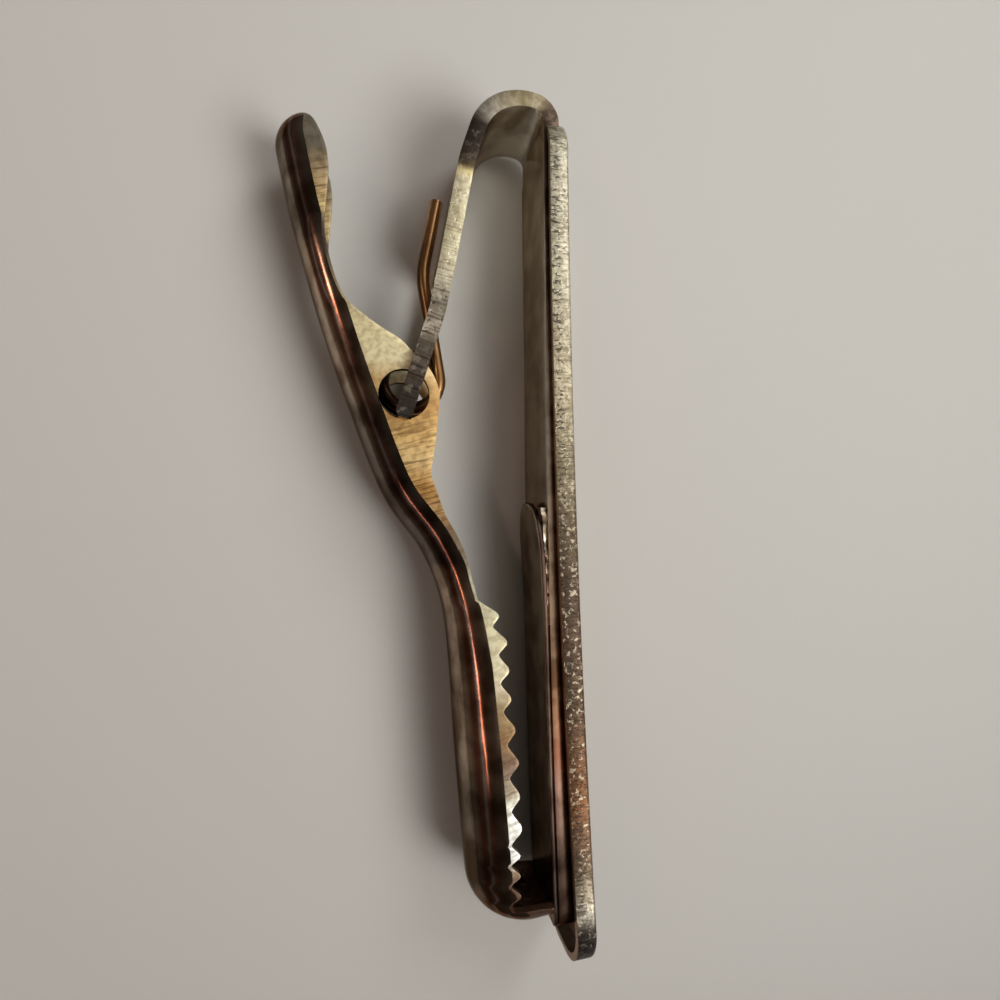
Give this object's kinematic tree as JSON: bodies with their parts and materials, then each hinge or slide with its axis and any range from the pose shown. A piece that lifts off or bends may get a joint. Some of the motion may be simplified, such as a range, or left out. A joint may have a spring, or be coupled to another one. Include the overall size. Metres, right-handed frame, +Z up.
{
  "type": "tie clip",
  "caption": "Tie clip with a bowed front bar, a folded springy back strip and a toothed lever that a wire spring holds shut, lying on its side.",
  "frame": {"origin": "under the middle of the clip's bounding box, on the surface that it lies on", "axes": "+X from the lever to the face of the front bar, +Y along the bar towards the folded end, +Z up across the width of the bar"},
  "size_m": [0.0176, 0.054, 0.0064],
  "materials": {
    "bar_plate": "worn, pitted edge and smooth tarnished face",
    "strip_brass": "sheared bright edges and dark polished faces",
    "lever_brass": "dark polished tarnish with gold worn edges",
    "liner_brass": "dark polished tarnish",
    "spring_wire": "copper-brown tarnish",
    "seat_tin": "dull grey solder",
    "liner_tin": "bright uneven solder"
  },
  "bodies": {
    "clip": {"front_bar": "bar_plate", "back_strip": "strip_brass", "seat_solder": "seat_tin", "grip_liner": "liner_brass", "liner_solder": "liner_tin", "torsion_spring": "spring_wire"},
    "lever": {"jaw_lever": "lever_brass"}
  },
  "joints": [
    {"name": "jaw", "type": "hinge", "parent": "clip", "child": "lever", "pos_m": [-0.00162, 0.00775, 0.0032], "axis": [0, 0, -1], "range_deg": [0, 27], "stiffness_Nm_per_rad": 0.1, "springref_deg": -17.19, "deforming": ["torsion_spring"]}
  ]
}
